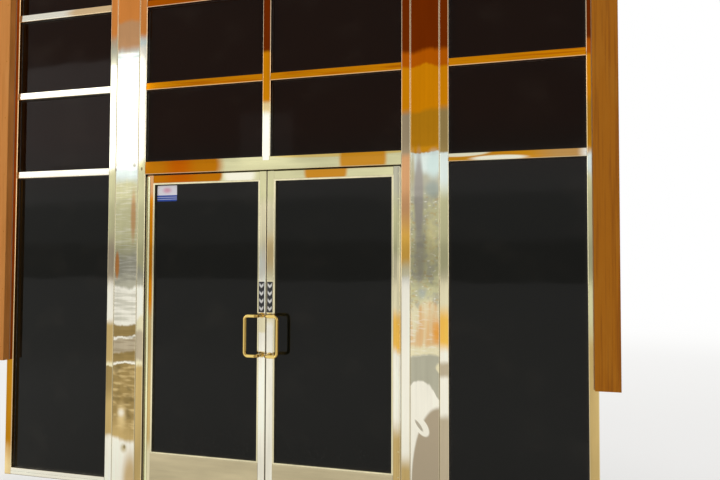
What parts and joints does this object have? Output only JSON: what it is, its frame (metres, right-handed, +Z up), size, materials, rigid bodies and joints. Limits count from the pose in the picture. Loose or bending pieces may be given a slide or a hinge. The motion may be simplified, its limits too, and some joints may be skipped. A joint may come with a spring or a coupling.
{
  "type": "brass entrance screen with a pair of glass doors",
  "caption": "Brass-clad shopfront entrance: outward-swinging pair of glass doors with pull handles between wide pilasters, with sidelights and transom lights.",
  "frame": {"origin": "underside of the threshold, halfway between the two leaves and halfway through the depth of the frame", "axes": "+X to the right seen from outside, +Y from outside into the building, +Z up"},
  "size_m": [4.365, 0.2265, 3.974],
  "materials": {
    "frame_brass": "polished, lightly worn",
    "panel_brass": "polished sheet, slightly dented",
    "door_brass": "polished",
    "bead_brass": "polished",
    "hinge_brass": "satin",
    "pull_brass": "polished by hands",
    "threshold_brass": "worn, fluted",
    "tinted_glass": "clear float, dark bronze tint",
    "black_rubber": "matte",
    "painted_timber": "orange-brown stained board"
  },
  "bodies": {
    "frame": {"threshold": "threshold_brass", "sidelight_sills": "frame_brass", "left_jamb": "frame_brass", "right_jamb": "frame_brass", "left_outer_mullion": "frame_brass", "left_inner_mullion": "frame_brass", "right_inner_mullion": "frame_brass", "right_outer_mullion": "frame_brass", "left_pilaster_panels": "panel_brass", "right_pilaster_panels": "panel_brass", "door_header": "frame_brass", "transom_mullion": "frame_brass", "left_bars": "frame_brass", "center_bars": "frame_brass", "right_bars": "frame_brass", "head_members": "frame_brass", "door_stops": "frame_brass", "left_post_hinge": "hinge_brass", "right_post_hinge": "hinge_brass", "left_sidelight_glass": "tinted_glass", "right_sidelight_glass": "tinted_glass", "left_transom_glass": "tinted_glass", "center_transom_glass": "tinted_glass", "right_transom_glass": "tinted_glass", "glazing_gaskets": "black_rubber", "left_casing": "painted_timber", "right_casing": "painted_timber"},
    "left_door": {"left_door_hinge_stile": "door_brass", "left_door_meeting_stile": "door_brass", "left_door_top_rail": "door_brass", "left_door_bottom_rail": "door_brass", "left_door_glass": "tinted_glass", "left_door_beads": "bead_brass", "left_door_gaskets": "black_rubber", "left_door_hinge": "hinge_brass", "left_door_pulls": "pull_brass"},
    "right_door": {"right_door_hinge_stile": "door_brass", "right_door_meeting_stile": "door_brass", "right_door_top_rail": "door_brass", "right_door_bottom_rail": "door_brass", "right_door_glass": "tinted_glass", "right_door_beads": "bead_brass", "right_door_gaskets": "black_rubber", "right_door_hinge": "hinge_brass", "right_door_pulls": "pull_brass"}
  },
  "joints": [
    {"name": "left_door_swing", "type": "hinge", "parent": "frame", "child": "left_door", "pos_m": [-0.908, -0.0445, 0], "axis": [0, 0, -1], "range_deg": [0, 90]},
    {"name": "right_door_swing", "type": "hinge", "parent": "frame", "child": "right_door", "pos_m": [0.908, -0.0445, 0], "axis": [0, 0, 1], "range_deg": [0, 90]}
  ]
}
